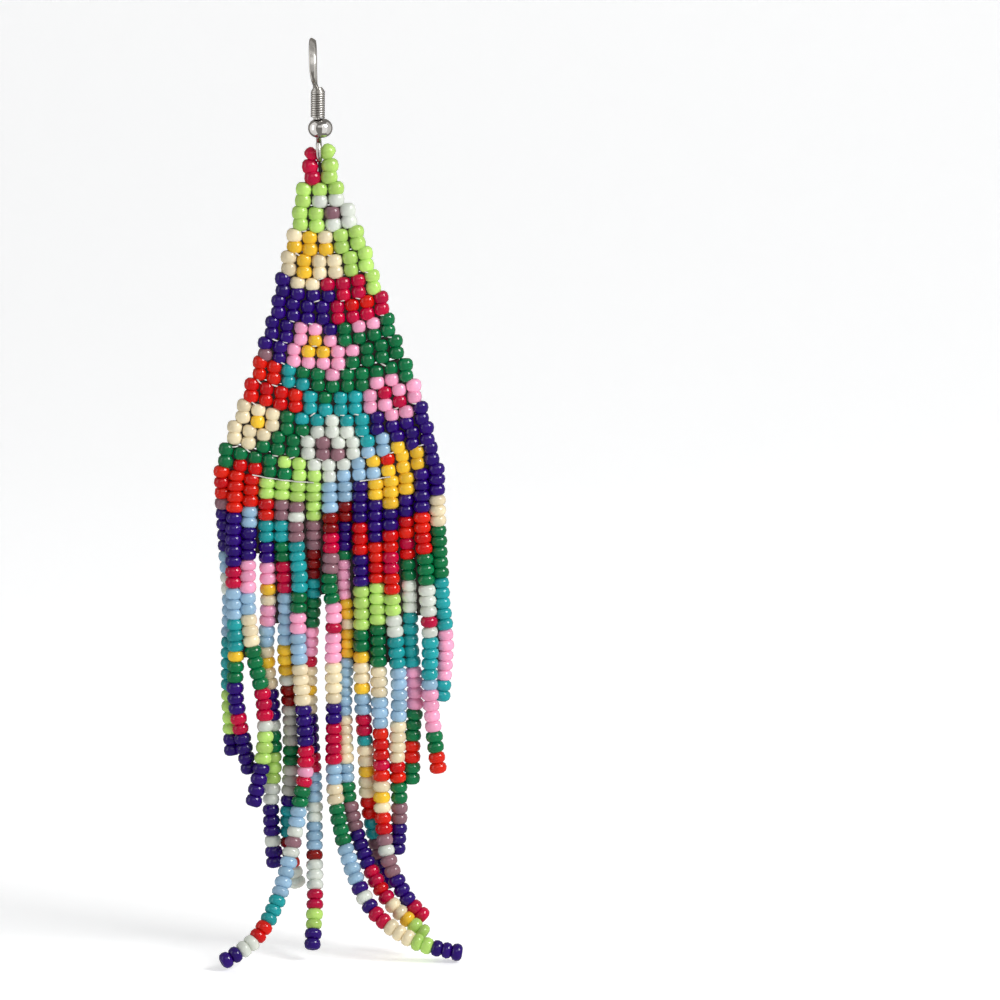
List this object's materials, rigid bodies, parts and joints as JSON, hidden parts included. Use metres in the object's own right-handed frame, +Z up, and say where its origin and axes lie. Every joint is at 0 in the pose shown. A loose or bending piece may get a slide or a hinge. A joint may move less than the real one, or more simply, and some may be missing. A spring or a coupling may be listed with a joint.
{
  "type": "beaded drop earring",
  "caption": "Drop earring of opaque glass seed beads: a flowered brick-stitch fan on a wire ear hook with ball and coil, with a long fringe of multicoloured bead strings.",
  "frame": {"origin": "the underside of the hook's arch, where the pierced ear lobe carries it", "axes": "+Z up along the hanging earring, -Y out of the beaded face, +X to the right of that face"},
  "size_m": [0.0347, 0.0161, 0.1291],
  "materials": {
    "silver_wire": "bright silver-plated wire",
    "polished_ball": "polished",
    "glass_crimson": "glossy opaque glass",
    "glass_green": "glossy opaque glass",
    "glass_sky": "glossy opaque glass",
    "glass_indigo": "glossy opaque glass",
    "glass_pink": "glossy opaque glass",
    "glass_cream": "glossy opaque glass",
    "glass_amber": "glossy opaque glass",
    "glass_lime": "glossy opaque glass",
    "glass_teal": "glossy opaque glass",
    "nylon_thread": "white nylon beading thread"
  },
  "bodies": {
    "hook": {"ear_hook": "silver_wire", "hook_coil": "silver_wire", "hook_ball": "polished_ball"},
    "drop": {"top_loop": "glass_crimson", "bead_panel": "glass_green", "strand_01": "glass_sky", "strand_02": "glass_indigo", "strand_03": "glass_crimson", "strand_04": "glass_pink", "strand_05": "glass_crimson", "strand_06": "glass_sky", "strand_07": "glass_cream", "strand_08": "glass_crimson", "strand_09": "glass_amber", "strand_10": "glass_lime", "strand_11": "glass_crimson", "strand_12": "glass_green", "strand_13": "glass_green", "strand_14": "glass_pink", "strand_15": "glass_teal"}
  },
  "joints": [
    {"name": "drop_swing", "type": "hinge", "parent": "hook", "child": "drop", "pos_m": [0, 0, -0.016], "axis": [1, 0, 0], "range_deg": [-90, 90]}
  ]
}
